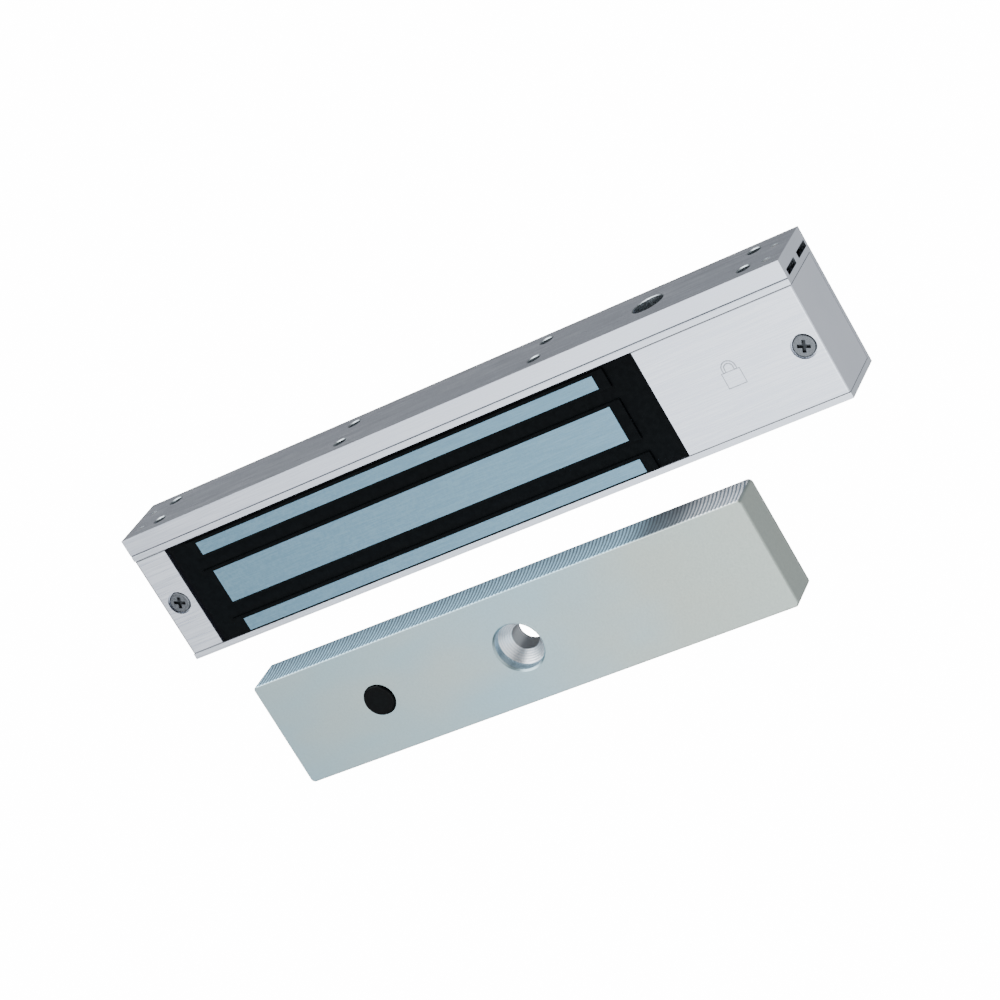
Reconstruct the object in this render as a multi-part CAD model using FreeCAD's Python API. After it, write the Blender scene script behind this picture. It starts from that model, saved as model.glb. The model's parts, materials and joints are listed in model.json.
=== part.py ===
import FreeCAD, Part
import math
import os

# Magnetic door lock: an electromagnet in an aluminium channel under its
# mounting plate, and the steel armature plate that it holds.
# Millimetres, +Z up. The origin is the centre of the mounting plate's top
# face, +X runs along the lock, and the pole faces look along -Y.

# ---- overall body ----
LENGTH = 250.0
DEPTH = 25.9
HEIGHT = 47.4
WALL = 2.0
JOINT_GAP = 0.2
SEAM_EDGE = 0.3

HALF_LENGTH = LENGTH / 2
FRONT_Y = -DEPTH / 2
BACK_Y = DEPTH / 2
BOTTOM_Z = -HEIGHT

# ---- mounting plate ----
PLATE_HEIGHT = 6.2
PLATE_SLAB = 4.1
FRONT_RIB = 2.3
WEB_START = 11.4
WEB_END = 14.8
BACK_RIB = 1.6
SCREW_HOLE_RADIUS = 2.2
SCREW_HEAD_RADIUS = 3.9
SCREW_HEAD_DEPTH = 1.7
SCREW_HOLE_EDGE = 0.3
SCREW_HOLE_X = (37.2, 111.6)
SCREW_HOLE_Y = 6.7

# ---- housing channel, below the mounting plate ----
HOUSING_TOP = -PLATE_HEIGHT
INNER_TOP = HOUSING_TOP - WALL
INNER_BOTTOM = BOTTOM_Z + WALL
INNER_BACK = BACK_Y - WALL

# ---- bolts that join the housing to the mounting plate ----
BODY_BOLT_X = 119.5
BODY_BOLT_Y = (-7.4, 3.2)
BODY_BOLT_RADIUS = 1.5
BODY_BOLT_HEAD_RADIUS = 2.75
BODY_BOLT_HEAD_HEIGHT = 3.0
BODY_BOLT_INSET = 0.2
SOCKET_FLAT_RADIUS = 1.25
SOCKET_DEPTH = 1.5
WASHER_RADIUS = 3.0
WASHER_HEIGHT = 0.5

# ---- cable entry ----
CABLE_HOLE_X = 76.5
CABLE_HOLE_Y = -0.5
CABLE_HOLE_RADIUS = 5.25
CABLE_HOLE_EDGE = 0.25

# ---- end covers ----
LEFT_COVER_END = -112.3
RIGHT_COVER_START = 69.6
COVER_FRONT = 2.5
COVER_SIDE = 2.0
COVER_EDGE = 0.8
COVER_SCREW_X = (-118.5, 119.1)
COVER_SCREW_Z = -27.0
COVER_SCREW_RADIUS = 2.0
COVER_HOLE_RADIUS = 2.2
SCREW_WELL_RADIUS = 4.1
SCREW_WELL_DEPTH = 1.3
SCREW_CAP_RADIUS = 3.7
SCREW_CAP_HEIGHT = 1.2
SCREW_LENGTH = 12.0
CROSS_SPAN = 4.1
CROSS_WIDTH = 1.15
CROSS_DEPTH = 0.9
CROSS_TURN = 22.0
POST_RADIUS = 3.4

# ---- electromagnet ----
CORE_LEFT = -100.2
CORE_RIGHT = 54.4
UPPER_POLE = (-14.9, -10.3)
CENTRE_POLE = (-33.5, -21.3)
LOWER_POLE = (-44.8, -40.2)
YOKE_BACK = 10.4
YOKE_THICKNESS = 6.0
YOKE_FRONT = YOKE_BACK - YOKE_THICKNESS
BOBBIN_WALL = 0.8
BOBBIN_FRONT = FRONT_Y + 2.4
COIL_OVERHANG = 6.4
WINDING_INSET = 0.5
CORNER_RADIUS = 4.0

# ---- potting compound ----
POTTING_LEFT = LEFT_COVER_END
POTTING_RIGHT = RIGHT_COVER_START
POTTING_FLOOR = 1.1
BOSS_SETBACK = 0.25
BOSS_MARGIN_Z = 1.0
BOSS_MARGIN_X = 4.0

# ---- electronics, behind the right cover ----
BOARD_LEFT = 83.5
BOARD_RIGHT = 113.5
BOARD_BOTTOM = -43.0
BOARD_TOP = -12.0
BOARD_THICKNESS = 1.6
STANDOFF_HEIGHT = 4.0
STANDOFF_RADIUS = 2.5
STANDOFF_INSET = 3.2
BOARD_SCREW_RADIUS = 1.25
BOARD_SCREW_HEAD_RADIUS = 2.2
BOARD_SCREW_HEAD_HEIGHT = 1.3
BOARD_BACK = INNER_BACK - STANDOFF_HEIGHT
BOARD_FRONT = BOARD_BACK - BOARD_THICKNESS
TERMINAL_PITCH = 5.0
TERMINAL_COUNT = 4
TERMINAL_DEPTH = 8.4
TERMINAL_HEIGHT = 9.5
TERMINAL_BOTTOM = -27.0
TERMINAL_SCREW_RADIUS = 1.5
WIRE_PORT_RADIUS = 1.4
WIRE_PORT_DEPTH = 4.0
WIRE_PORT_INSET = 3.2
SCREW_SLOT_DEPTH = 0.7
SCREW_SLOT_WIDTH = 0.5
LEAD_RADIUS = 0.7
POSITIVE_LEAD_LEVELS = (-24.0, -29.0)
NEGATIVE_LEAD_LEVELS = (-31.0, -35.0)
LEAD_SETBACK = 3.0
LEG_RADIUS = 0.35
VARISTOR_X = 92.0
VARISTOR_Z = -33.0
VARISTOR_RADIUS = 3.6
VARISTOR_THICKNESS = 3.0
VARISTOR_LIFT = 1.2
VARISTOR_LEG_X = 1.8
DIODE_X = 101.0
DIODE_Z = -33.5
DIODE_LIFT = 2.2
DIODE_RADIUS = 1.35
DIODE_LENGTH = 5.2
DIODE_REACH = 4.65
HEADER_X = 99.0
HEADER_Z = -38.5
PIN_PITCH = 2.54
PIN_HALF = 0.32
PIN_TIP = 8.0
HEADER_HEIGHT = 2.4
HEADER_HALF = 1.25
JUMPER_TOP = 8.6

# ---- armature plate, hanging in front of and below the body ----
ARMATURE_LENGTH = 185.0
ARMATURE_HEIGHT = 38.3
ARMATURE_THICKNESS = 14.8
ARMATURE_X = -8.0
ARMATURE_Z = -77.15
ARMATURE_STANDOFF = 1.6
ARMATURE_CORNER = 1.5
ARMATURE_EDGE = 0.35

ARMATURE_BACK = FRONT_Y - ARMATURE_STANDOFF
ARMATURE_FRONT = ARMATURE_BACK - ARMATURE_THICKNESS

BOLT_HOLE_X = ARMATURE_X + 1.5
BOLT_HOLE_RADIUS = 4.6
BOLT_WELL_RADIUS = 8.1
BOLT_WELL_DEPTH = 3.8
BOLT_WELL_EDGE = 0.6
BOLT_CONE_LENGTH = 3.5
GUIDE_HOLE_OFFSET = 24.0
GUIDE_HOLE_RADIUS = 2.6
GUIDE_HOLE_DEPTH = 8.0

BUTTON_X = -60.7
BUTTON_RADIUS = 5.25
BUTTON_PROUD = 1.0
BUTTON_DOME = 0.5
BUTTON_FLANGE_RADIUS = 6.5
BUTTON_FLANGE = 1.6
BUTTON_CLEARANCE = 0.3
BUTTON_SHOULDER = 3.0
BUTTON_WELL_RADIUS = 7.0
PLUG_HEIGHT = 2.2
PLUG_INSET = 0.3
SPRING_RADIUS = 3.9
SPRING_WIRE = 0.45
SPRING_TURNS = 4.5
SPRING_SLACK = 0.05

X_AXIS = FreeCAD.Vector(1, 0, 0)
Y_AXIS = FreeCAD.Vector(0, 1, 0)
Z_AXIS = FreeCAD.Vector(0, 0, 1)


# ---- shared shapes ----

def block(x_low, x_high, y_low, y_high, z_low, z_high):
    corner = FreeCAD.Vector(x_low, y_low, z_low)
    return Part.makeBox(x_high - x_low, y_high - y_low, z_high - z_low, corner)


def rod(x, y, z, radius, length, axis):
    return Part.makeCylinder(radius, length, FreeCAD.Vector(x, y, z), axis)


def cone(x, y, z, start_radius, end_radius, length, axis):
    return Part.makeCone(start_radius, end_radius, length, FreeCAD.Vector(x, y, z), axis)


def rounded_block(x_low, x_high, y_low, y_high, z_low, z_high, radius):
    """A block with its four corners rounded in the XZ plane."""
    solid = block(x_low, x_high, y_low, y_high, z_low, z_high)
    edges = [edge for edge in solid.Edges if abs(edge.tangentAt(edge.FirstParameter).y) > 0.5]
    return solid.makeFillet(radius, edges)


def polygon_prism(x, y, z, flat_radius, length, axis):
    """A hexagonal prism, for a driving socket, along Z."""
    points = []
    for step in range(7):
        angle = math.radians(60 * step)
        corner = flat_radius / math.cos(math.radians(30))
        points.append(FreeCAD.Vector(x + corner * math.cos(angle), y + corner * math.sin(angle), z))
    return Part.Face(Part.makePolygon(points)).extrude(axis * length)


def joined(shapes):
    """Solids that touch or overlap, made one."""
    return shapes[0].fuse(shapes[1:]).removeSplitter()


def save(name, shapes):
    """Write one node, a single solid or a group of separate ones."""
    solids = shapes if isinstance(shapes, list) else [shapes]
    loose = [solid for shape in solids for solid in shape.Solids]
    node = loose[0] if len(loose) == 1 else Part.makeCompound(loose)
    node.exportStep(f"parts/{name}.step")


# ---- body ----

def body_bolt_places():
    return [(x, y) for x in (-BODY_BOLT_X, BODY_BOLT_X) for y in BODY_BOLT_Y]


def cable_bore():
    return rod(CABLE_HOLE_X, CABLE_HOLE_Y, INNER_TOP - 1, CABLE_HOLE_RADIUS, -INNER_TOP + 2, Z_AXIS)


def broken_seam(solid):
    """Break the long edges where the mounting plate and the housing meet."""
    seam = [
        edge for edge in solid.Edges
        if abs(edge.CenterOfMass.z - HOUSING_TOP) < 0.01
        and abs(abs(edge.CenterOfMass.y) - BACK_Y) < 0.01
    ]
    return solid.makeChamfer(SEAM_EDGE, seam)


def mounting_plate():
    """Extruded plate whose two channels, open downward, take the screw heads."""
    slab_bottom = -PLATE_SLAB
    plate = broken_seam(block(-HALF_LENGTH, HALF_LENGTH, FRONT_Y, BACK_Y, HOUSING_TOP, 0))
    channels = (
        (FRONT_Y + FRONT_RIB, FRONT_Y + WEB_START),
        (FRONT_Y + WEB_END, BACK_Y - BACK_RIB),
    )
    cuts = [
        cable_bore(),
        cone(CABLE_HOLE_X, CABLE_HOLE_Y, -CABLE_HOLE_EDGE, CABLE_HOLE_RADIUS,
             CABLE_HOLE_RADIUS + CABLE_HOLE_EDGE, CABLE_HOLE_EDGE, Z_AXIS),
    ]
    for low, high in channels:
        cuts.append(block(-HALF_LENGTH - 1, HALF_LENGTH + 1, low, high, HOUSING_TOP - 1, slab_bottom))
    for x in SCREW_HOLE_X:
        for hole_x in (-x, x):
            for hole_y in (-SCREW_HOLE_Y, SCREW_HOLE_Y):
                cuts.append(rod(hole_x, hole_y, slab_bottom - 1, SCREW_HOLE_RADIUS, PLATE_SLAB + 2, Z_AXIS))
                cuts.append(
                    cone(hole_x, hole_y, slab_bottom, SCREW_HEAD_RADIUS,
                         SCREW_HOLE_RADIUS, SCREW_HEAD_DEPTH, Z_AXIS)
                )
                cuts.append(
                    cone(hole_x, hole_y, -SCREW_HOLE_EDGE, SCREW_HOLE_RADIUS,
                         SCREW_HOLE_RADIUS + SCREW_HOLE_EDGE, SCREW_HOLE_EDGE, Z_AXIS)
                )
    for x, y in body_bolt_places():
        cuts.append(rod(x, y, HOUSING_TOP - 1, BODY_BOLT_RADIUS, PLATE_HEIGHT + 2, Z_AXIS))
    return plate.cut(cuts)


def housing_channel():
    """U-shaped extrusion with an open front and open ends."""
    outer = broken_seam(block(-HALF_LENGTH, HALF_LENGTH, FRONT_Y, BACK_Y, BOTTOM_Z, HOUSING_TOP))
    cuts = [
        block(-HALF_LENGTH - 1, HALF_LENGTH + 1, FRONT_Y - 1, INNER_BACK, INNER_BOTTOM, INNER_TOP),
        cable_bore(),
    ]
    for x, y in body_bolt_places():
        cuts.append(rod(x, y, INNER_TOP - 1, BODY_BOLT_RADIUS, WALL + 2, Z_AXIS))
    return outer.cut(cuts)


def body_bolts():
    """Socket screws, heads inside the channel, threaded up into the plate."""
    head_top = INNER_TOP - WASHER_HEIGHT
    head_bottom = head_top - BODY_BOLT_HEAD_HEIGHT
    shank_length = -head_top - BODY_BOLT_INSET
    bolts = []
    for x, y in body_bolt_places():
        head = rod(x, y, head_bottom, BODY_BOLT_HEAD_RADIUS, BODY_BOLT_HEAD_HEIGHT, Z_AXIS)
        shank = rod(x, y, head_top, BODY_BOLT_RADIUS, shank_length, Z_AXIS)
        socket = polygon_prism(x, y, head_bottom, SOCKET_FLAT_RADIUS, SOCKET_DEPTH, Z_AXIS)
        bolts.append(joined([head, shank]).cut(socket))
    return bolts


def body_bolt_washers():
    washers = []
    for x, y in body_bolt_places():
        disc = rod(x, y, INNER_TOP - WASHER_HEIGHT, WASHER_RADIUS, WASHER_HEIGHT, Z_AXIS)
        washers.append(disc.cut(rod(x, y, INNER_TOP - 1, BODY_BOLT_RADIUS, 2, Z_AXIS)))
    return washers


# ---- end covers and their screws ----

def end_cover(side, inner_x, screw_x):
    """Front panel with a turned-in end panel; side is -1 on the left, 1 on the right."""
    outer_x = side * HALF_LENGTH
    panel_x = outer_x - side * COVER_SIDE
    low_z = INNER_BOTTOM + JOINT_GAP
    high_z = INNER_TOP - JOINT_GAP
    front = block(min(inner_x, outer_x), max(inner_x, outer_x),
                  FRONT_Y, FRONT_Y + COVER_FRONT, low_z, high_z)
    end = block(min(panel_x, outer_x), max(panel_x, outer_x),
                FRONT_Y, INNER_BACK - JOINT_GAP, low_z, high_z)
    cover = joined([front, end])
    bend = [
        edge for edge in cover.Edges
        if abs(edge.CenterOfMass.x - outer_x) < 0.01 and abs(edge.CenterOfMass.y - FRONT_Y) < 0.01
    ]
    cover = cover.makeFillet(COVER_EDGE, bend)
    well = rod(screw_x, FRONT_Y - 1, COVER_SCREW_Z, SCREW_WELL_RADIUS, SCREW_WELL_DEPTH + 1, Y_AXIS)
    hole = rod(screw_x, FRONT_Y, COVER_SCREW_Z, COVER_HOLE_RADIUS, COVER_FRONT + 1, Y_AXIS)
    return cover.cut([well, hole])


def cover_screw(x):
    """Pan-head screw with a cross recess, seated in the cover's well."""
    seat_y = FRONT_Y + SCREW_WELL_DEPTH
    cap_y = seat_y - SCREW_CAP_HEIGHT
    cap = rod(x, cap_y, COVER_SCREW_Z, SCREW_CAP_RADIUS, SCREW_CAP_HEIGHT, Y_AXIS)
    rim = [edge for edge in cap.Edges if abs(edge.CenterOfMass.y - cap_y) < 0.01]
    cap = cap.makeFillet(SCREW_CAP_HEIGHT * 0.45, rim)
    shank = rod(x, seat_y, COVER_SCREW_Z, COVER_SCREW_RADIUS, SCREW_LENGTH, Y_AXIS)
    half_span = CROSS_SPAN / 2
    half_width = CROSS_WIDTH / 2
    slots = [
        block(x - half_span, x + half_span, cap_y - 1, cap_y + CROSS_DEPTH,
              COVER_SCREW_Z - half_width, COVER_SCREW_Z + half_width),
        block(x - half_width, x + half_width, cap_y - 1, cap_y + CROSS_DEPTH,
              COVER_SCREW_Z - half_span, COVER_SCREW_Z + half_span),
    ]
    cross = joined(slots)
    cross.rotate(FreeCAD.Vector(x, 0, COVER_SCREW_Z), Y_AXIS, CROSS_TURN)
    return joined([cap, shank]).cut(cross)


def screw_post(x):
    """Threaded post from the back wall to the back of the cover."""
    start_y = FRONT_Y + COVER_FRONT
    post = rod(x, start_y, COVER_SCREW_Z, POST_RADIUS, INNER_BACK - start_y, Y_AXIS)
    thread = rod(x, start_y - 1, COVER_SCREW_Z, COVER_SCREW_RADIUS, SCREW_LENGTH + 1, Y_AXIS)
    return post.cut(thread)


# ---- electromagnet ----

def magnet_core():
    """E-section lamination stack: a yoke at the back and three poles."""
    yoke = block(CORE_LEFT, CORE_RIGHT, YOKE_FRONT, YOKE_BACK, LOWER_POLE[0], UPPER_POLE[1])
    poles = [
        block(CORE_LEFT, CORE_RIGHT, FRONT_Y, YOKE_FRONT, low, high)
        for low, high in (UPPER_POLE, CENTRE_POLE, LOWER_POLE)
    ]
    return joined([yoke] + poles)


def coil_envelope(growth, y_low, y_high):
    """Rounded block around the centre pole, wider than it by growth."""
    return rounded_block(
        CORE_LEFT - growth, CORE_RIGHT + growth, y_low, y_high,
        CENTRE_POLE[0] - growth, CENTRE_POLE[1] + growth, CORNER_RADIUS,
    )


def centre_pole_hole():
    return block(CORE_LEFT, CORE_RIGHT, FRONT_Y - 1, YOKE_FRONT + 1, CENTRE_POLE[0], CENTRE_POLE[1])


def coil_bobbin():
    """Spool round the centre pole: a tube with a flange at each end."""
    tube = block(
        CORE_LEFT - BOBBIN_WALL, CORE_RIGHT + BOBBIN_WALL, BOBBIN_FRONT, YOKE_FRONT,
        CENTRE_POLE[0] - BOBBIN_WALL, CENTRE_POLE[1] + BOBBIN_WALL,
    )
    front = coil_envelope(COIL_OVERHANG, BOBBIN_FRONT, BOBBIN_FRONT + BOBBIN_WALL)
    back = coil_envelope(COIL_OVERHANG, YOKE_FRONT - BOBBIN_WALL, YOKE_FRONT)
    return joined([tube, front, back]).cut(centre_pole_hole())


def coil_winding():
    """The wound copper, as one solid ring between the bobbin's flanges."""
    ring = coil_envelope(
        COIL_OVERHANG - WINDING_INSET, BOBBIN_FRONT + BOBBIN_WALL, YOKE_FRONT - BOBBIN_WALL
    )
    tube = block(
        CORE_LEFT - BOBBIN_WALL, CORE_RIGHT + BOBBIN_WALL, BOBBIN_FRONT, YOKE_FRONT,
        CENTRE_POLE[0] - BOBBIN_WALL, CENTRE_POLE[1] + BOBBIN_WALL,
    )
    return ring.cut(tube)


def insulation_sheet():
    return block(CORE_LEFT, CORE_RIGHT, YOKE_BACK, INNER_BACK, LOWER_POLE[0], UPPER_POLE[1])


def lead_route(start_z, turn_z):
    """A coil lead: along X out of the potting, then up or down to the terminals."""
    y = YOKE_FRONT - LEAD_SETBACK
    start_x = CORE_RIGHT + COIL_OVERHANG
    end_x = BOARD_LEFT + 1.5
    run = rod(start_x, y, start_z, LEAD_RADIUS, end_x - start_x, X_AXIS)
    low, high = min(start_z, turn_z), max(start_z, turn_z)
    rise = rod(end_x, y, low, LEAD_RADIUS, high - low, Z_AXIS)
    bends = [Part.makeSphere(LEAD_RADIUS, FreeCAD.Vector(end_x, y, z)) for z in (start_z, turn_z)]
    return joined([run, rise] + bends)


def coil_lead_positive():
    return lead_route(*POSITIVE_LEAD_LEVELS)


def coil_lead_negative():
    return lead_route(*NEGATIVE_LEAD_LEVELS)


def potting_resin():
    """Cast resin around the core and the coil, stepped at its front."""
    floor_y = FRONT_Y + POTTING_FLOOR
    boss_y = FRONT_Y + BOSS_SETBACK
    shapes = [block(POTTING_LEFT, POTTING_RIGHT, floor_y, INNER_BACK, INNER_BOTTOM, INNER_TOP)]
    for low, high in (UPPER_POLE, CENTRE_POLE, LOWER_POLE):
        shapes.append(
            block(CORE_LEFT - BOSS_MARGIN_X, CORE_RIGHT + BOSS_MARGIN_X, boss_y, floor_y + 1,
                  max(low - BOSS_MARGIN_Z, INNER_BOTTOM), min(high + BOSS_MARGIN_Z, INNER_TOP))
        )
    coil = coil_envelope(COIL_OVERHANG, BOBBIN_FRONT, YOKE_FRONT)
    return joined(shapes).cut([magnet_core(), insulation_sheet(), coil,
                               coil_lead_positive(), coil_lead_negative()])


# ---- electronics ----

def board_corners():
    xs = (BOARD_LEFT + STANDOFF_INSET, BOARD_RIGHT - STANDOFF_INSET)
    zs = (BOARD_BOTTOM + STANDOFF_INSET, BOARD_TOP - STANDOFF_INSET)
    return [(x, z) for x in xs for z in zs]


def circuit_board():
    board = block(BOARD_LEFT, BOARD_RIGHT, BOARD_FRONT, BOARD_BACK, BOARD_BOTTOM, BOARD_TOP)
    return board.cut(
        [rod(x, BOARD_FRONT - 1, z, BOARD_SCREW_RADIUS, BOARD_THICKNESS + 2, Y_AXIS)
         for x, z in board_corners()]
    )


def board_standoffs():
    pieces = []
    for x, z in board_corners():
        post = rod(x, BOARD_BACK, z, STANDOFF_RADIUS, STANDOFF_HEIGHT, Y_AXIS)
        pieces.append(post.cut(rod(x, BOARD_BACK - 1, z, BOARD_SCREW_RADIUS, STANDOFF_HEIGHT, Y_AXIS)))
    return pieces


def board_screws():
    pieces = []
    for x, z in board_corners():
        cap = rod(x, BOARD_FRONT - BOARD_SCREW_HEAD_HEIGHT, z, BOARD_SCREW_HEAD_RADIUS,
                  BOARD_SCREW_HEAD_HEIGHT, Y_AXIS)
        shank = rod(x, BOARD_FRONT, z, BOARD_SCREW_RADIUS,
                    BOARD_THICKNESS + STANDOFF_HEIGHT - 1.5, Y_AXIS)
        pieces.append(joined([cap, shank]))
    return pieces


def terminal_places():
    middle = (BOARD_LEFT + BOARD_RIGHT) / 2
    first = middle - TERMINAL_PITCH * (TERMINAL_COUNT - 1) / 2
    return [first + TERMINAL_PITCH * step for step in range(TERMINAL_COUNT)]


def terminal_screw_z():
    return TERMINAL_BOTTOM + TERMINAL_HEIGHT * 0.4


def terminal_block():
    """Screw terminals for the supply wires, which enter from above."""
    places = terminal_places()
    half_pitch = TERMINAL_PITCH / 2
    top = TERMINAL_BOTTOM + TERMINAL_HEIGHT
    front = BOARD_FRONT - TERMINAL_DEPTH
    body = block(places[0] - half_pitch, places[-1] + half_pitch, front, BOARD_FRONT, TERMINAL_BOTTOM, top)
    cuts = []
    for x in places:
        cuts.append(rod(x, front - 1, terminal_screw_z(), TERMINAL_SCREW_RADIUS + 0.2,
                        TERMINAL_DEPTH - 3, Y_AXIS))
        cuts.append(rod(x, BOARD_FRONT - WIRE_PORT_INSET, top - WIRE_PORT_DEPTH,
                        WIRE_PORT_RADIUS, WIRE_PORT_DEPTH + 1, Z_AXIS))
    return body.cut(cuts)


def terminal_screws():
    head_y = BOARD_FRONT - TERMINAL_DEPTH + 1.0
    z = terminal_screw_z()
    pieces = []
    for x in terminal_places():
        screw = rod(x, head_y, z, TERMINAL_SCREW_RADIUS, TERMINAL_DEPTH - 5, Y_AXIS)
        slot = block(x - TERMINAL_PITCH / 2, x + TERMINAL_PITCH / 2, head_y - 1, head_y + SCREW_SLOT_DEPTH,
                     z - SCREW_SLOT_WIDTH / 2, z + SCREW_SLOT_WIDTH / 2)
        pieces.append(screw.cut(slot))
    return pieces


def surge_varistor():
    """Disc that takes the coil's switch-off surge, standing on two legs."""
    y = BOARD_FRONT - VARISTOR_LIFT - VARISTOR_RADIUS
    disc = rod(VARISTOR_X, y, VARISTOR_Z - VARISTOR_THICKNESS / 2, VARISTOR_RADIUS,
               VARISTOR_THICKNESS, Z_AXIS)
    legs = [rod(VARISTOR_X + side * VARISTOR_LEG_X, y, VARISTOR_Z, LEG_RADIUS, BOARD_FRONT - y, Y_AXIS)
            for side in (-1, 1)]
    return joined([disc] + legs)


def protection_diode():
    """Axial diode lying on the board on its two bent legs."""
    y = BOARD_FRONT - DIODE_LIFT
    ends = (DIODE_X - DIODE_REACH, DIODE_X + DIODE_REACH)
    body = rod(DIODE_X - DIODE_LENGTH / 2, y, DIODE_Z, DIODE_RADIUS, DIODE_LENGTH, X_AXIS)
    wire = rod(ends[0], y, DIODE_Z, LEG_RADIUS, 2 * DIODE_REACH, X_AXIS)
    bends = [Part.makeSphere(LEG_RADIUS, FreeCAD.Vector(x, y, DIODE_Z)) for x in ends]
    legs = [rod(x, y, DIODE_Z, LEG_RADIUS, DIODE_LIFT, Y_AXIS) for x in ends]
    return joined([body, wire] + bends + legs)


def jumper_header():
    """Pin header that the voltage jumper sits on."""
    half_length = 1.5 * PIN_PITCH
    base_y = BOARD_FRONT - HEADER_HEIGHT
    base = block(HEADER_X - half_length, HEADER_X + half_length, base_y, BOARD_FRONT,
                 HEADER_Z - HEADER_HALF, HEADER_Z + HEADER_HALF)
    pins = [block(x - PIN_HALF, x + PIN_HALF, BOARD_FRONT - PIN_TIP, base_y,
                  HEADER_Z - PIN_HALF, HEADER_Z + PIN_HALF)
            for x in (HEADER_X - PIN_PITCH, HEADER_X, HEADER_X + PIN_PITCH)]
    return joined([base] + pins)


def voltage_jumper():
    """Shorting cap over two of the three pins: 12 V or 24 V working."""
    cap = block(HEADER_X - PIN_PITCH / 2, HEADER_X + 1.5 * PIN_PITCH,
                BOARD_FRONT - JUMPER_TOP, BOARD_FRONT - HEADER_HEIGHT,
                HEADER_Z - HEADER_HALF, HEADER_Z + HEADER_HALF)
    return cap.cut(jumper_header())


# ---- armature plate and its release button ----

def armature_plate():
    plate = rounded_block(
        ARMATURE_X - ARMATURE_LENGTH / 2, ARMATURE_X + ARMATURE_LENGTH / 2,
        ARMATURE_FRONT, ARMATURE_BACK,
        ARMATURE_Z - ARMATURE_HEIGHT / 2, ARMATURE_Z + ARMATURE_HEIGHT / 2, ARMATURE_CORNER,
    )
    broken = [edge for face in plate.Faces if abs(face.normalAt(0, 0).y) > 0.9 for edge in face.Edges]
    plate = plate.makeChamfer(ARMATURE_EDGE, broken)
    well_floor = ARMATURE_FRONT + BOLT_WELL_DEPTH
    cuts = [
        rod(BOLT_HOLE_X, ARMATURE_FRONT - 1, ARMATURE_Z, BOLT_HOLE_RADIUS, ARMATURE_THICKNESS + 2, Y_AXIS),
        rod(BOLT_HOLE_X, ARMATURE_FRONT - 1, ARMATURE_Z, BOLT_WELL_RADIUS, BOLT_WELL_DEPTH + 1, Y_AXIS),
        cone(BOLT_HOLE_X, ARMATURE_FRONT, ARMATURE_Z, BOLT_WELL_RADIUS + BOLT_WELL_EDGE,
             BOLT_WELL_RADIUS, BOLT_WELL_EDGE, Y_AXIS),
        cone(BOLT_HOLE_X, well_floor, ARMATURE_Z, BOLT_WELL_RADIUS, BOLT_HOLE_RADIUS,
             BOLT_CONE_LENGTH, Y_AXIS),
        rod(BUTTON_X, ARMATURE_FRONT - 1, ARMATURE_Z, BUTTON_RADIUS + BUTTON_CLEARANCE,
            BUTTON_SHOULDER + 2, Y_AXIS),
        rod(BUTTON_X, ARMATURE_FRONT + BUTTON_SHOULDER, ARMATURE_Z, BUTTON_WELL_RADIUS,
            ARMATURE_THICKNESS, Y_AXIS),
    ]
    for side in (-1, 1):
        cuts.append(rod(BOLT_HOLE_X + side * GUIDE_HOLE_OFFSET, ARMATURE_BACK - GUIDE_HOLE_DEPTH,
                        ARMATURE_Z, GUIDE_HOLE_RADIUS, GUIDE_HOLE_DEPTH + 1, Y_AXIS))
    return plate.cut(cuts)


def button_flange_front():
    return ARMATURE_FRONT + BUTTON_SHOULDER + BUTTON_CLEARANCE


def release_button():
    """Domed push button, kept in its bore by a flange behind the shoulder."""
    tip_y = ARMATURE_FRONT - BUTTON_PROUD
    flange_y = button_flange_front()
    stem = rod(BUTTON_X, tip_y, ARMATURE_Z, BUTTON_RADIUS, flange_y - tip_y, Y_AXIS)
    rim = [edge for edge in stem.Edges if abs(edge.CenterOfMass.y - tip_y) < 0.01]
    stem = stem.makeFillet(BUTTON_DOME, rim)
    flange = rod(BUTTON_X, flange_y, ARMATURE_Z, BUTTON_FLANGE_RADIUS, BUTTON_FLANGE, Y_AXIS)
    return joined([stem, flange])


def plug_front():
    return ARMATURE_BACK - PLUG_INSET - PLUG_HEIGHT


def spring_plug():
    """Disc pressed into the back of the button's bore; the spring rests on it."""
    return rod(BUTTON_X, plug_front(), ARMATURE_Z, BUTTON_WELL_RADIUS, PLUG_HEIGHT, Y_AXIS)


def release_spring():
    """Compression spring between the button's flange and the plug."""
    low_y = button_flange_front() + BUTTON_FLANGE + SPRING_SLACK + SPRING_WIRE
    high_y = plug_front() - SPRING_SLACK - SPRING_WIRE
    height = high_y - low_y
    helix = Part.makeHelix(height / SPRING_TURNS, height, SPRING_RADIUS)
    start = FreeCAD.Vector(SPRING_RADIUS, 0, 0)
    section = Part.Wire(Part.makeCircle(SPRING_WIRE, start, Y_AXIS))
    coil = Part.Wire(helix.Edges).makePipeShell([section], True, True)
    coil.rotate(FreeCAD.Vector(0, 0, 0), X_AXIS, -90)
    coil.translate(FreeCAD.Vector(BUTTON_X, low_y, ARMATURE_Z))
    return coil


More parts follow.
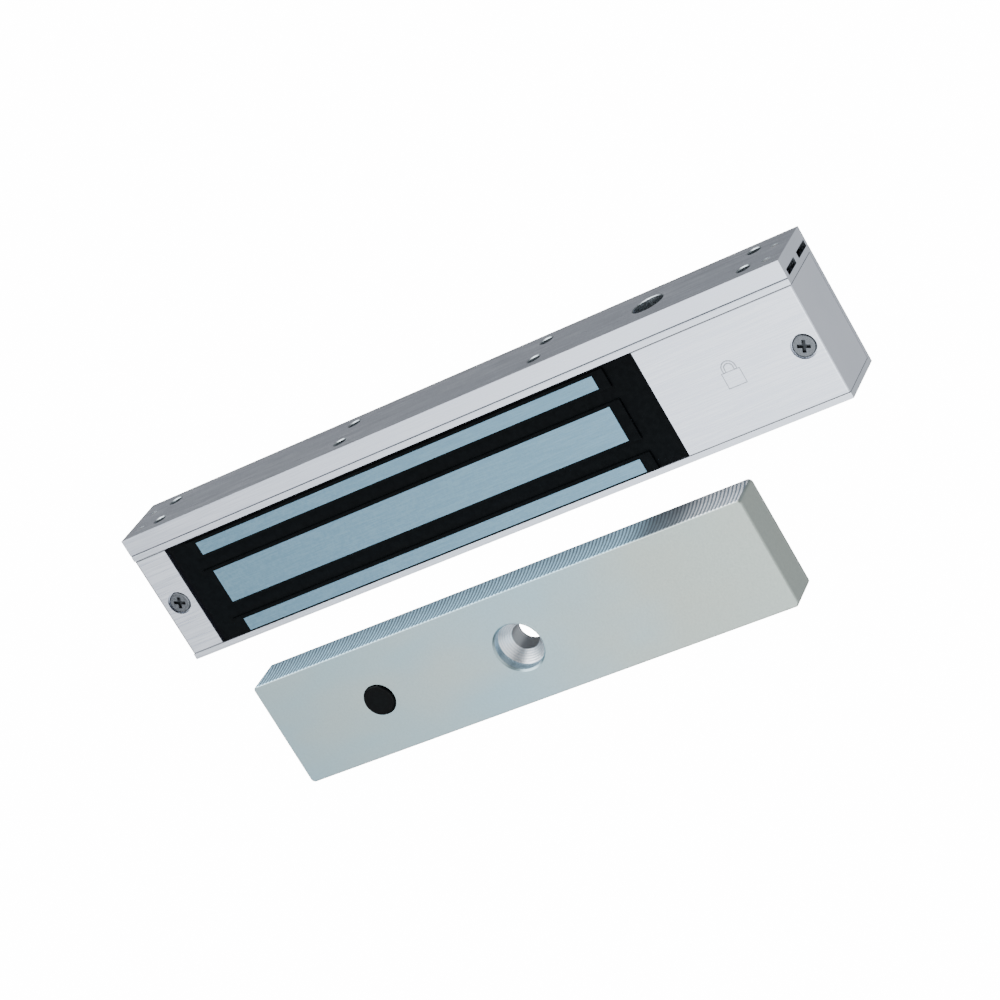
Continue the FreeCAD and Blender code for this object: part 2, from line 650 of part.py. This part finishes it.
def build():
    os.makedirs("parts", exist_ok=True)
    left_x, right_x = COVER_SCREW_X
    nodes = {
        "mounting_plate": mounting_plate(),
        "housing_channel": housing_channel(),
        "body_bolts": body_bolts(),
        "body_bolt_washers": body_bolt_washers(),
        "left_cover": end_cover(-1, LEFT_COVER_END, left_x),
        "right_cover": end_cover(1, RIGHT_COVER_START, right_x),
        "left_cover_screw": cover_screw(left_x),
        "right_cover_screw": cover_screw(right_x),
        "left_screw_post": screw_post(left_x),
        "right_screw_post": screw_post(right_x),
        "magnet_core": magnet_core(),
        "coil_bobbin": coil_bobbin(),
        "coil_winding": coil_winding(),
        "insulation_sheet": insulation_sheet(),
        "coil_lead_positive": coil_lead_positive(),
        "coil_lead_negative": coil_lead_negative(),
        "potting_resin": potting_resin(),
        "circuit_board": circuit_board(),
        "board_standoffs": board_standoffs(),
        "board_screws": board_screws(),
        "terminal_block": terminal_block(),
        "terminal_screws": terminal_screws(),
        "surge_varistor": surge_varistor(),
        "protection_diode": protection_diode(),
        "jumper_header": jumper_header(),
        "voltage_jumper": voltage_jumper(),
        "armature_plate": armature_plate(),
        "release_button": release_button(),
        "release_spring": release_spring(),
        "spring_plug": spring_plug(),
    }
    for name, shapes in nodes.items():
        save(name, shapes)


build()
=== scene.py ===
import json
import math

import bpy
from mathutils import Matrix, Vector


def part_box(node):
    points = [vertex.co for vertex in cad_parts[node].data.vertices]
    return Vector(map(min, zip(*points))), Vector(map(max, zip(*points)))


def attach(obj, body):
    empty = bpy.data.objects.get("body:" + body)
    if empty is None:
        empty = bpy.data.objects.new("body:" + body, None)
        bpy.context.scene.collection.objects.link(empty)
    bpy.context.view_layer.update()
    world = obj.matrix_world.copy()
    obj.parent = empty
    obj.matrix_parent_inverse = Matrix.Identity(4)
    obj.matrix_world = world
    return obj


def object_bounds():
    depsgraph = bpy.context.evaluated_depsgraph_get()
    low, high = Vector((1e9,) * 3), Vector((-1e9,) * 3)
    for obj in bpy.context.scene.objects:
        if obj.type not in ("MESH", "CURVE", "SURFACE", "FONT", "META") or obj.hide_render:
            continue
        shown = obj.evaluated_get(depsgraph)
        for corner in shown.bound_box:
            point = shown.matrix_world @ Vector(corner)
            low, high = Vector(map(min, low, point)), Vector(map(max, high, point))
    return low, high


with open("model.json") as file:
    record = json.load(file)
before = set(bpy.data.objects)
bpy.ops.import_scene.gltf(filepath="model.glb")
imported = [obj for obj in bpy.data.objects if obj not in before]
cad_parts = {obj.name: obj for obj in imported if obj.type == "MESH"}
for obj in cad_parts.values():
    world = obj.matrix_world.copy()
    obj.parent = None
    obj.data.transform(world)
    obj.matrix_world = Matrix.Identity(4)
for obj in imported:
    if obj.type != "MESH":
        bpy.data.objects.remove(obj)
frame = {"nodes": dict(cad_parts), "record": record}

# A magnetic door lock with its armature plate, hanging over a pale floor.
# Everything is in metres, in the part's own frame.

CAMERA_AZIMUTH = 29.863
CAMERA_ELEVATION = 15.776
CAMERA_ROLL = -30.939
CAMERA_DISTANCE = 0.9484
CAMERA_TARGET = Vector((0.00065, -0.00462, -0.03831))
CAMERA_LENS = 109.32
CAMERA_SENSOR = 36.0
CAMERA_REACH = 200.0

FLOOR_DROP = 0.55
FLOOR_SIZE = 60.0
FLOOR_GLOW = 14.0

# Joints of the body, and the walls that are cut into its aluminium, with the levels of the painted shade on
# its ledge, on those walls and down in the screws' cross recesses.
SEAM_WIDTH = 0.00045
LEDGE_REACH = 0.0001
CUT_INSET = 0.0005
SCREW_RECESS_START = 0.0004
SCREW_RECESS_FADE = 0.0004

# Armature plate: arcs on its long sides, and the stepped hole for its bolt.
CUTTER_PITCH = 0.0014
CUTTER_BOW = 9.36
MILLED_REACH = 0.0002
WARM_START = 0.045
WARM_END = 0.070
# Where the painted dark reflection on the milled side sits, its full-strength core and its reach.
DARK_REFLECTION_X = 0.056
DARK_REFLECTION_CORE = 0.003
DARK_REFLECTION_REACH = 0.016
TURNING_PITCH = 0.0006
BORE_RADIUS = 0.00466
WELL_FLOOR_RADIUS = 0.0080
WELL_WALL_RADIUS = 0.0083
WELL_TOP = 0.0007
WELL_DEPTH = 0.0074

WIRE_PITCH = 0.0006
TRACK_PITCH = 0.0031

MARK_CENTRE_X = 0.0949
MARK_CENTRE_Z = -0.0262
MARK_HEIGHT = 0.0085
MARK_BAR_RADIUS = MARK_HEIGHT * 0.022
MARK_RELIEF = 0.00003
MARK_ARC_STEPS = 16


# ---- node graph helpers ----

class Graph:
    """Adds nodes to one tree and links them, so that a material reads top to bottom."""

    def __init__(self, tree):
        self.tree = tree

    def add(self, kind, **values):
        node = self.tree.nodes.new(kind)
        for name, value in values.items():
            setattr(node, name, value)
        return node

    def feed(self, socket, value):
        """Link a socket to another, or set it to a constant."""
        if isinstance(value, bpy.types.NodeSocket):
            self.tree.links.new(value, socket)
        else:
            socket.default_value = value

    def add_with(self, kind, inputs, **values):
        node = self.add(kind, **values)
        for socket, value in zip(node.inputs, inputs):
            self.feed(socket, value)
        return node

    def place(self):
        return self.add("ShaderNodeTexCoord").outputs["Object"]

    def stretched(self, x, y, z):
        return self.vector("MULTIPLY", self.place(), (x, y, z))

    def axis(self, vector, letter):
        return self.add_with("ShaderNodeSeparateXYZ", [vector]).outputs[letter]

    def math(self, operation, first, second=0.0):
        return self.add_with("ShaderNodeMath", [first, second], operation=operation).outputs[0]

    def size(self, value):
        return self.math("ABSOLUTE", value)

    def product(self, first, second):
        return self.math("MULTIPLY", first, second)

    def distance(self, value, level):
        return self.size(self.math("SUBTRACT", value, level))

    def between(self, value, low, high):
        above = self.math("GREATER_THAN", value, low)
        return self.product(above, self.math("LESS_THAN", value, high))

    def vector(self, operation, first, second):
        node = self.add_with("ShaderNodeVectorMath", [first, second], operation=operation)
        return node.outputs["Value"] if operation == "LENGTH" else node.outputs["Vector"]

    def noise(self, vector, scale, detail=3.0, roughness=0.55):
        node = self.add("ShaderNodeTexNoise")
        self.feed(node.inputs["Vector"], vector)
        self.feed(node.inputs["Scale"], scale)
        self.feed(node.inputs["Detail"], detail)
        self.feed(node.inputs["Roughness"], roughness)
        return node.outputs["Fac"]

    def wave(self, value, pitch):
        return self.math("SINE", self.product(value, 2 * math.pi / pitch))

    def spread(self, value, low, high, new_low=0.0, new_high=1.0):
        """Map low..high to new_low..new_high, smoothly and clamped."""
        node = self.add("ShaderNodeMapRange", interpolation_type="SMOOTHSTEP")
        for name, number in (("Value", value), ("From Min", low), ("From Max", high),
                             ("To Min", new_low), ("To Max", new_high)):
            self.feed(node.inputs[name], number)
        return node.outputs["Result"]

    def blend(self, factor, first, second):
        node = self.add("ShaderNodeMix", data_type="RGBA")
        self.feed(node.inputs[0], factor)
        self.feed(node.inputs[6], first)
        self.feed(node.inputs[7], second)
        return node.outputs[2]

    def bump(self, height, distance, strength=1.0):
        node = self.add("ShaderNodeBump")
        self.feed(node.inputs["Strength"], strength)
        self.feed(node.inputs["Distance"], distance)
        self.feed(node.inputs["Height"], height)
        return node.outputs["Normal"]


def tone(red, green, blue):
    return (red, green, blue, 1.0)


def new_material(name, metallic, **constants):
    """A material with its Principled shader; constants go straight on the shader's sockets."""
    material = bpy.data.materials.new(name)
    material.use_nodes = True
    shader = material.node_tree.nodes["Principled BSDF"]
    shader.inputs["Metallic"].default_value = metallic
    for socket, value in constants.items():
        shader.inputs[socket.replace("_", " ")].default_value = value
    return material, Graph(material.node_tree), shader


def finish_surface(graph, shader, colour, rough, normal):
    graph.feed(shader.inputs["Base Color"], colour)
    graph.feed(shader.inputs["Roughness"], rough)
    graph.feed(shader.inputs["Normal"], normal)


# ---- aluminium ----

def darken_seams(graph, colour, facing, height, seams):
    """Dirt along joints on the front and back faces; a seam is its level and its width in Z."""
    at_front = graph.spread(graph.size(graph.axis(facing, "Y")), 0.6, 0.8)
    for level, width in seams:
        dirt = graph.spread(graph.distance(height, level), width, width * 0.5)
        colour = graph.blend(graph.product(dirt, at_front), colour, tone(0.20, 0.21, 0.23))
    return colour


def paint_ledge_shade(graph, colour, facing, height, ledge):
    """Painted shade on the upward face at the ledge's level, which the mounting plate shades."""
    upward = graph.math("GREATER_THAN", graph.axis(facing, "Z"), 0.7)
    at_ledge = graph.math("LESS_THAN", graph.distance(height, ledge), LEDGE_REACH)
    return graph.blend(graph.product(upward, at_ledge), colour, tone(0.10, 0.11, 0.12))


def paint_cut_wall_shade(graph, colour, facing, span):
    """Painted shade on the steep walls of holes and channels, inside a span in Y."""
    inside = graph.between(graph.axis(graph.place(), "Y"), *span)
    steep = graph.math("LESS_THAN", graph.size(graph.axis(facing, "Z")), 0.9)
    not_end = graph.math("LESS_THAN", graph.size(graph.axis(facing, "X")), 0.97)
    walls = graph.product(inside, graph.product(steep, not_end))
    return graph.blend(walls, colour, tone(0.46, 0.51, 0.54))


def brushed_aluminium(name, bright, dark, rough, contrast, seams=(), ledge=None, cut_span=None):
    """Anodised aluminium with brush lines along X, except on the ends, and with faint patches."""
    material, graph, shader = new_material(name, 1.0)
    fine = graph.noise(graph.stretched(0.025, 1, 1), 2800, 2.0)
    coarse = graph.noise(graph.stretched(0.014, 1, 1), 1100, 3.0, 0.65)
    patches = graph.noise(graph.stretched(0.35, 1, 1), 40, 2.0)
    lines = graph.math("ADD", graph.product(fine, 0.6), graph.product(coarse, 0.4))
    facing = graph.add("ShaderNodeTexCoord").outputs["Normal"]
    at_end = graph.spread(graph.size(graph.axis(facing, "X")), 0.5, 0.8)
    lines = graph.math("ADD", lines, graph.product(graph.math("SUBTRACT", 0.5, lines), at_end))
    colour = graph.blend(graph.spread(lines, 0.5 - contrast, 0.5 + contrast), dark, bright)
    colour = graph.blend(graph.spread(patches, 0.4, 0.7, 0.0, 0.3), colour, dark)

    height = graph.axis(graph.place(), "Z")
    colour = darken_seams(graph, colour, facing, height, seams)
    # Painted shade on the upward face at the ledge, under the mounting plate.
    if ledge is not None:
        colour = paint_ledge_shade(graph, colour, facing, height, ledge)
    # Painted shade on the steep walls of holes and channels.
    if cut_span is not None:
        colour = paint_cut_wall_shade(graph, colour, facing, cut_span)
    finish_surface(graph, shader, colour, graph.spread(lines, 0.3, 0.7, rough - 0.05, rough + 0.08),
                   graph.bump(lines, 0.00003, 0.5))
    return material


# ---- steel ----

def ground_steel(name, bright, dark, rough):
    """Ground, thinly plated steel: small mottled grains over fine grinding lines."""
    material, graph, shader = new_material(name, 1.0)
    grains = graph.noise(graph.place(), 900, 4.0, 0.7)
    lines = graph.noise(graph.stretched(0.06, 1, 1), 2600, 2.0)
    clouds = graph.noise(graph.place(), 30, 2.0)
    mixed = graph.math("ADD", graph.product(grains, 0.6), graph.product(lines, 0.4))
    colour = graph.blend(graph.spread(mixed, 0.36, 0.64), dark, bright)
    colour = graph.blend(graph.spread(clouds, 0.4, 0.7, 0.0, 0.3), colour, dark)
    finish_surface(graph, shader, colour, graph.spread(grains, 0.3, 0.7, rough - 0.05, rough + 0.07),
                   graph.bump(mixed, 0.00003, 0.3))
    return material


def screw_steel(name, bright, dark, recess_y=None):
    """Plated steel, with painted shade down in the cross recess."""
    material, graph, shader = new_material(name, 1.0)
    place = graph.place()
    grains = graph.noise(place, 2500, 3.0)
    colour = graph.blend(graph.spread(grains, 0.35, 0.7), dark, bright)
    if recess_y is not None:
        # Painted shade down in the cross recess, fading in below the recess's start.
        depth = graph.spread(graph.axis(place, "Y"), recess_y, recess_y + SCREW_RECESS_FADE)
        colour = graph.blend(depth, colour, tone(0.035, 0.038, 0.042))
    finish_surface(graph, shader, colour, graph.spread(grains, 0.3, 0.7, 0.28, 0.42),
                   graph.bump(grains, 0.00003, 0.3))
    return material


# ---- zinc-plated armature ----

def plated_colour(graph, place, along, grains):
    """Passivated zinc: cool on the left, warmer to the right, in soft clouds."""
    clouds = graph.noise(graph.vector("MULTIPLY", place, (0.6, 1, 1.3)), 16, 3.0)
    drift = graph.math("ADD", along, graph.product(graph.noise(place, 24, 2.0), 0.09))
    colour = graph.blend(graph.spread(clouds, 0.35, 0.65), tone(0.36, 0.53, 0.60), tone(0.46, 0.55, 0.54))
    colour = graph.blend(graph.spread(drift, 0.04, 0.11, 0.0, 0.85), colour, tone(0.47, 0.51, 0.45))
    return graph.blend(graph.spread(grains, 0.3, 0.75, 0.0, 0.12), colour, tone(0.24, 0.29, 0.31))


def milled_colour(graph, along, inward):
    """A milled long side: bowed cutter arcs, bluish with a warmer end and one painted dark reflection."""
    bow = graph.product(graph.math("POWER", inward, 2), CUTTER_BOW)
    arcs = graph.wave(graph.math("ADD", along, bow), CUTTER_PITCH)
    arcs = graph.product(graph.math("ADD", arcs, 1.0), 0.5)
    warm = graph.spread(along, WARM_START, WARM_END)
    colour = graph.blend(warm, tone(0.56, 0.84, 1.0), tone(0.95, 0.97, 1.0))
    colour = graph.blend(graph.spread(arcs, 0.2, 0.9, 0.0, 0.85), colour, tone(0.14, 0.20, 0.25))
    # Painted dark reflection across the milled side, centred at the X given above.
    dark_reflection = graph.spread(graph.distance(along, DARK_REFLECTION_X), DARK_REFLECTION_REACH, DARK_REFLECTION_CORE, 0.0, 0.8)
    return graph.blend(dark_reflection, colour, tone(0.10, 0.11, 0.12))


def zinc_plate(well_centre, front_y, side_z):
    """Zinc-plated plate: tinted clouds, milled long sides and a turned stepped hole."""
    material, graph, shader = new_material("zinc_plated_armature", 1.0)
    place = graph.place()
    x = graph.axis(place, "X")
    y = graph.axis(place, "Y")
    z = graph.axis(place, "Z")
    grains = graph.noise(place, 1400, 3.0, 0.65)
    colour = plated_colour(graph, place, x, grains)

    milled_start = side_z - well_centre[2] - MILLED_REACH
    milled = graph.math("GREATER_THAN", graph.distance(z, well_centre[2]), milled_start)
    colour = graph.blend(milled, colour, milled_colour(graph, x, graph.math("SUBTRACT", y, front_y)))

    flat = graph.vector("MULTIPLY", place, (1, 0, 1))
    across = graph.vector("SUBTRACT", flat, (well_centre[0], 0, well_centre[2]))
    radius = graph.vector("LENGTH", across, (0, 0, 0))
    below_face = graph.between(y, front_y + WELL_TOP, front_y + WELL_DEPTH)
    wall = graph.product(graph.between(radius, WELL_FLOOR_RADIUS, WELL_WALL_RADIUS), below_face)
    cone = graph.product(graph.between(radius, BORE_RADIUS, WELL_FLOOR_RADIUS), below_face)
    bore = graph.math("LESS_THAN", radius, BORE_RADIUS)
    rings = graph.wave(y, TURNING_PITCH)
    turned = graph.blend(graph.spread(rings, -0.6, 1.0), tone(0.95, 0.97, 1.0), tone(0.80, 0.84, 0.88))
    colour = graph.blend(wall, colour, tone(0.55, 0.72, 0.82))
    colour = graph.blend(cone, colour, turned)
    colour = graph.blend(bore, colour, tone(0.42, 0.45, 0.48))

    ring_height = graph.product(graph.product(rings, 0.2), cone)
    height = graph.math("ADD", graph.product(grains, 0.2), ring_height)
    rough = graph.math("ADD", graph.spread(grains, 0.3, 0.7, 0.30, 0.38), graph.product(milled, 0.22))
    finish_surface(graph, shader, colour, rough, graph.bump(height, 0.00014, 0.6))
    return material


# ---- other materials ----

def plain_surface(name, bright, dark, rough, grain=900, bump=0.00003, metallic=0.0, **constants):
    """Moulded, cast or dipped surface with a fine grain and faint clouds."""
    material, graph, shader = new_material(name, metallic, **constants)
    place = graph.place()
    grains = graph.noise(place, grain, 3.0)
    clouds = graph.noise(place, grain / 24, 2.0)
    colour = graph.blend(graph.spread(grains, 0.35, 0.65, 0.0, 0.5), bright, dark)
    colour = graph.blend(graph.spread(clouds, 0.4, 0.65, 0.0, 0.5), colour, dark)
    finish_surface(graph, shader, colour, graph.spread(grains, 0.3, 0.7, rough - 0.05, rough + 0.08),
                   graph.bump(grains, bump, 0.4))
    return material


def wound_copper():
    """Enamelled copper: wire pitch shown as fine ridges across the winding's depth."""
    material, graph, shader = new_material("enamelled_copper", 1.0, Coat_Weight=0.4)
    place = graph.place()
    ridges = graph.wave(graph.axis(place, "Y"), WIRE_PITCH)
    height = graph.product(graph.math("ADD", ridges, 1.0), 0.5)
    colour = graph.blend(height, tone(0.28, 0.09, 0.03), tone(0.78, 0.34, 0.16))
    finish_surface(graph, shader, colour, graph.spread(graph.noise(place, 700), 0.3, 0.7, 0.28, 0.4),
                   graph.bump(height, 0.0001, 0.7))
    return material


def board_surface():
    """Green solder mask with faint copper tracks under it."""
    material, graph, shader = new_material("solder_mask", 0.0, Coat_Weight=0.5)
    place = graph.place()
    tracks = graph.wave(graph.axis(place, "Z"), TRACK_PITCH)
    gaps = graph.noise(graph.vector("MULTIPLY", place, (1, 1, 0.2)), 220, 1.0)
    mask = graph.product(graph.spread(tracks, 0.55, 0.75), graph.spread(gaps, 0.45, 0.5))
    colour = graph.blend(mask, tone(0.012, 0.12, 0.04), tone(0.04, 0.28, 0.09))
    finish_surface(graph, shader, colour, graph.spread(graph.noise(place, 600), 0.3, 0.7, 0.3, 0.42),
                   graph.bump(mask, 0.00004, 0.5))
    return material


# ---- materials on the CAD nodes ----

def dress(nodes, material, *names):
    for name in names:
        mesh = nodes[name].data
        mesh.materials.clear()
        mesh.materials.append(material)


def dress_body(nodes):
    top_low, top_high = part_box("mounting_plate")
    cover_low, cover_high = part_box("right_cover")
    housing_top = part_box("housing_channel")[1][2]
    plate_seams = ((housing_top, SEAM_WIDTH),)
    cover_seams = ((cover_high[2], SEAM_WIDTH * 0.7), (cover_low[2], SEAM_WIDTH * 0.5))
    cut_span = (top_low[1] + CUT_INSET, top_high[1] - CUT_INSET)
    plate = brushed_aluminium("plate_aluminium", tone(0.80, 0.84, 0.92), tone(0.66, 0.70, 0.79),
                              0.32, 0.14, plate_seams, cut_span=cut_span)
    housing = brushed_aluminium("housing_aluminium", tone(0.80, 0.84, 0.92), tone(0.64, 0.68, 0.76),
                                0.32, 0.14, plate_seams, ledge=housing_top)
    cover = brushed_aluminium("cover_aluminium", tone(0.87, 0.91, 0.99), tone(0.66, 0.70, 0.79),
                              0.30, 0.11, cover_seams)
    dress(nodes, plate, "mounting_plate")
    dress(nodes, housing, "housing_channel")
    dress(nodes, cover, "left_cover", "right_cover")


def dress_screws(nodes):
    recess_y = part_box("left_cover_screw")[0][1] + SCREW_RECESS_START
    dress(nodes, screw_steel("cover_screw_steel", tone(0.19, 0.20, 0.22), tone(0.10, 0.11, 0.12), recess_y),
          "left_cover_screw", "right_cover_screw")
    dress(nodes, screw_steel("plain_screw_steel", tone(0.80, 0.81, 0.83), tone(0.60, 0.61, 0.63)),
          "body_bolts", "body_bolt_washers", "board_screws", "terminal_screws", "spring_plug",
          "release_spring")
    dress(nodes, plain_surface("turned_brass", tone(0.80, 0.62, 0.30), tone(0.62, 0.45, 0.2), 0.3,
                               metallic=1.0), "left_screw_post", "right_screw_post", "board_standoffs")


def dress_armature(nodes):
    plate_low, plate_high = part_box("armature_plate")
    hole = Vector(next(m["pos_m"] for m in frame["record"]["mounts"] if m["name"] == "armature_bolt"))
    dress(nodes, zinc_plate(hole, plate_low[1], plate_high[2]), "armature_plate")
    dress(nodes, plain_surface("black_button", tone(0.002, 0.0025, 0.003), tone(0.001, 0.0012, 0.0015), 0.4,
                               Specular_IOR_Level=0.08), "release_button")


def dress_magnet(nodes):
    dress(nodes, ground_steel("pole_steel", tone(0.20, 0.34, 0.43), tone(0.15, 0.27, 0.36), 0.36),
          "magnet_core")
    dress(nodes, plain_surface("cast_resin", tone(0.002, 0.003, 0.004), tone(0.001, 0.0015, 0.002), 0.55, 500,
                               0.00006, Specular_IOR_Level=0.06), "potting_resin")
    dress(nodes, plain_surface("bobbin_nylon", tone(0.78, 0.76, 0.68), tone(0.68, 0.66, 0.58), 0.5),
          "coil_bobbin")
    dress(nodes, wound_copper(), "coil_winding")
    dress(nodes, plain_surface("insulating_film", tone(0.72, 0.62, 0.34), tone(0.62, 0.52, 0.28), 0.4),
          "insulation_sheet")


def dress_electronics(nodes):
    dress(nodes, board_surface(), "circuit_board")
    dress(nodes, plain_surface("red_lead", tone(0.50, 0.02, 0.015), tone(0.36, 0.012, 0.01), 0.4),
          "coil_lead_positive")
    dress(nodes, plain_surface("black_moulding", tone(0.02, 0.02, 0.022), tone(0.012, 0.012, 0.013), 0.42),
          "coil_lead_negative", "voltage_jumper", "jumper_header", "protection_diode")
    dress(nodes, plain_surface("terminal_green", tone(0.03, 0.28, 0.09), tone(0.02, 0.2, 0.06), 0.42),
          "terminal_block")
    dress(nodes, plain_surface("varistor_blue", tone(0.02, 0.07, 0.36), tone(0.015, 0.05, 0.26), 0.3),
          "surge_varistor")


# ---- softened edges ----

EDGE_SIZES = {
    "mounting_plate": 0.00018,
    "housing_channel": 0.00018,
    "left_cover": 0.00015,
    "right_cover": 0.00015,
    "magnet_core": 0.00012,
    "potting_resin": 0.00035,
    "circuit_board": 0.0001,
    "terminal_block": 0.0002,
}


def soften_edges(nodes):
    for name, size in EDGE_SIZES.items():
        bevel = nodes[name].modifiers.new("soft_edges", "BEVEL")
        bevel.width = size
        bevel.segments = 2
        bevel.limit_method = "ANGLE"
        bevel.angle_limit = math.radians(50)
        bevel.use_clamp_overlap = True
        bevel.harden_normals = True


# ---- padlock mark on the right cover ----

def half_ring(radius, rise, side):
    """Points over a half circle, from +X to -X for side 1 and back for side -1."""
    turns = [math.pi * step / MARK_ARC_STEPS for step in range(MARK_ARC_STEPS + 1)]
    return [(side * radius * math.cos(turn), rise + radius * math.sin(turn)) for turn in turns]


def padlock_outline():
    """Closed loops of (x, z) for a padlock: its body, and its shackle as a bent bar."""
    half = MARK_HEIGHT * 0.36
    body_top = MARK_HEIGHT * 0.10
    body_bottom = -MARK_HEIGHT * 0.5
    body = [(-half, body_bottom), (half, body_bottom), (half, body_top), (-half, body_top)]
    outer = MARK_HEIGHT * 0.27
    inner = MARK_HEIGHT * 0.17
    rise = MARK_HEIGHT * 0.23
    shackle = [(outer, body_top)] + half_ring(outer, rise, 1)
    shackle += [(-outer, body_top), (-inner, body_top)]
    shackle += half_ring(inner, rise, -1) + [(inner, body_top)]
    return body, shackle


def mark_mesh(face_y):
    """The outlines as round bars along the cover's face, pressed almost flat."""
    curve = bpy.data.curves.new("cover_mark", "CURVE")
    curve.dimensions = "3D"
    curve.bevel_depth = MARK_BAR_RADIUS
    for loop in padlock_outline():
        spline = curve.splines.new("POLY")
        spline.points.add(len(loop) - 1)
        for point, (x, z) in zip(spline.points, loop):
            point.co = (MARK_CENTRE_X + x, face_y, MARK_CENTRE_Z + z, 1.0)
        spline.use_cyclic_u = True
    bars = bpy.data.objects.new("cover_mark_bars", curve)
    bpy.context.collection.objects.link(bars)
    bpy.context.view_layer.update()
    mesh = bpy.data.meshes.new_from_object(bars)
    bpy.data.objects.remove(bars)
    for vertex in mesh.vertices:
        vertex.co.y = face_y + (vertex.co.y - face_y) * MARK_RELIEF / MARK_BAR_RADIUS
    return mesh


def add_cover_mark():
    mesh = mark_mesh(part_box("right_cover")[0][1])
    mark = bpy.data.objects.new("cover_mark", mesh)
    bpy.context.collection.objects.link(mark)
    mesh.materials.clear()
    mesh.materials.append(
        brushed_aluminium("etched_mark", tone(0.50, 0.53, 0.58), tone(0.38, 0.41, 0.46), 0.5, 0.3))
    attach(mark, "magnet_body")


# ---- surroundings ----

def add_floor(lowest_z):
    """A glowing pale floor that the object's surfaces don't pick up."""
    half = FLOOR_SIZE / 2
    z = lowest_z - FLOOR_DROP
    corners = [(-half, -half, z), (half, -half, z), (half, half, z), (-half, half, z)]
    mesh = bpy.data.meshes.new("floor")
    mesh.from_pydata(corners, [], [(0, 1, 2, 3)])
    floor = bpy.data.objects.new("floor", mesh)
    bpy.context.collection.objects.link(floor)
    material, graph, shader = new_material("pale_floor", 0.0)
    shader.inputs["Base Color"].default_value = tone(0.9, 0.9, 0.9)
    shader.inputs["Roughness"].default_value = 0.9
    shader.inputs["Emission Color"].default_value = tone(1.0, 1.0, 1.0)
    shader.inputs["Emission Strength"].default_value = FLOOR_GLOW
    mesh.materials.append(material)
    floor.visible_glossy = False
    floor.visible_diffuse = False


# Each soft box is its direction, the cosines from that direction at which it fades out and at which
# it is full, and its brightness. SKY_BASE is the surround between them.
SKY_BASE = 0.24
SKY_BOXES = (
    (Vector((-0.06, -0.98, -0.20)), 0.77, 0.97, 3.1),
    (Vector((-0.42, -0.30, 0.85)), 0.78, 0.96, 4.2),
    (Vector((0.80, -0.52, -0.25)), 0.62, 0.95, 1.1),
    (Vector((0.60, 0.78, -0.25)), 0.70, 0.95, 0.5),
)


def add_sky():
    """Soft boxes painted on a grey surround, by direction."""
    world = bpy.data.worlds.new("studio")
    world.use_nodes = True
    bpy.context.scene.world = world
    graph = Graph(world.node_tree)
    background = world.node_tree.nodes["Background"]
    direction = graph.add("ShaderNodeTexCoord").outputs["Generated"]
    total = SKY_BASE
    for towards, edge, full, brightness in SKY_BOXES:
        dot = graph.add_with("ShaderNodeVectorMath", [direction, tuple(towards.normalized())],
                             operation="DOT_PRODUCT").outputs["Value"]
        total = graph.math("ADD", graph.spread(dot, edge, full, 0.0, brightness), total)
    background.inputs["Color"].default_value = tone(0.95, 0.975, 1.0)
    graph.feed(background.inputs["Strength"], total)


def add_sun(name, direction, strength, angle):
    light = bpy.data.lights.new(name, "SUN")
    light.energy = strength
    light.angle = math.radians(angle)
    lamp = bpy.data.objects.new(name, light)
    lamp.rotation_euler = Vector(direction).to_track_quat("-Z", "Y").to_euler()
    bpy.context.collection.objects.link(lamp)


def add_camera():
    azimuth = math.radians(CAMERA_AZIMUTH)
    elevation = math.radians(CAMERA_ELEVATION)
    looking = Vector((
        -math.sin(azimuth) * math.cos(elevation),
        math.cos(azimuth) * math.cos(elevation),
        -math.sin(elevation),
    ))
    camera = bpy.data.objects.new("camera", bpy.data.cameras.new("camera"))
    camera.data.lens = CAMERA_LENS
    camera.data.sensor_width = CAMERA_SENSOR
    camera.data.clip_end = CAMERA_REACH
    turn = looking.to_track_quat("-Z", "Y").to_matrix().to_4x4()
    roll = Matrix.Rotation(math.radians(CAMERA_ROLL), 4, "Z")
    camera.matrix_world = Matrix.Translation(CAMERA_TARGET - looking * CAMERA_DISTANCE) @ turn @ roll
    bpy.context.collection.objects.link(camera)
    bpy.context.scene.camera = camera


cad_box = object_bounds()

dress_body(frame["nodes"])
dress_screws(frame["nodes"])
dress_armature(frame["nodes"])
dress_magnet(frame["nodes"])
dress_electronics(frame["nodes"])
soften_edges(frame["nodes"])
add_cover_mark()
add_floor(cad_box[0][2])
add_sky()
add_sun("overhead", (0.0, 0.0, -1.0), 1.6, 40)
add_camera()
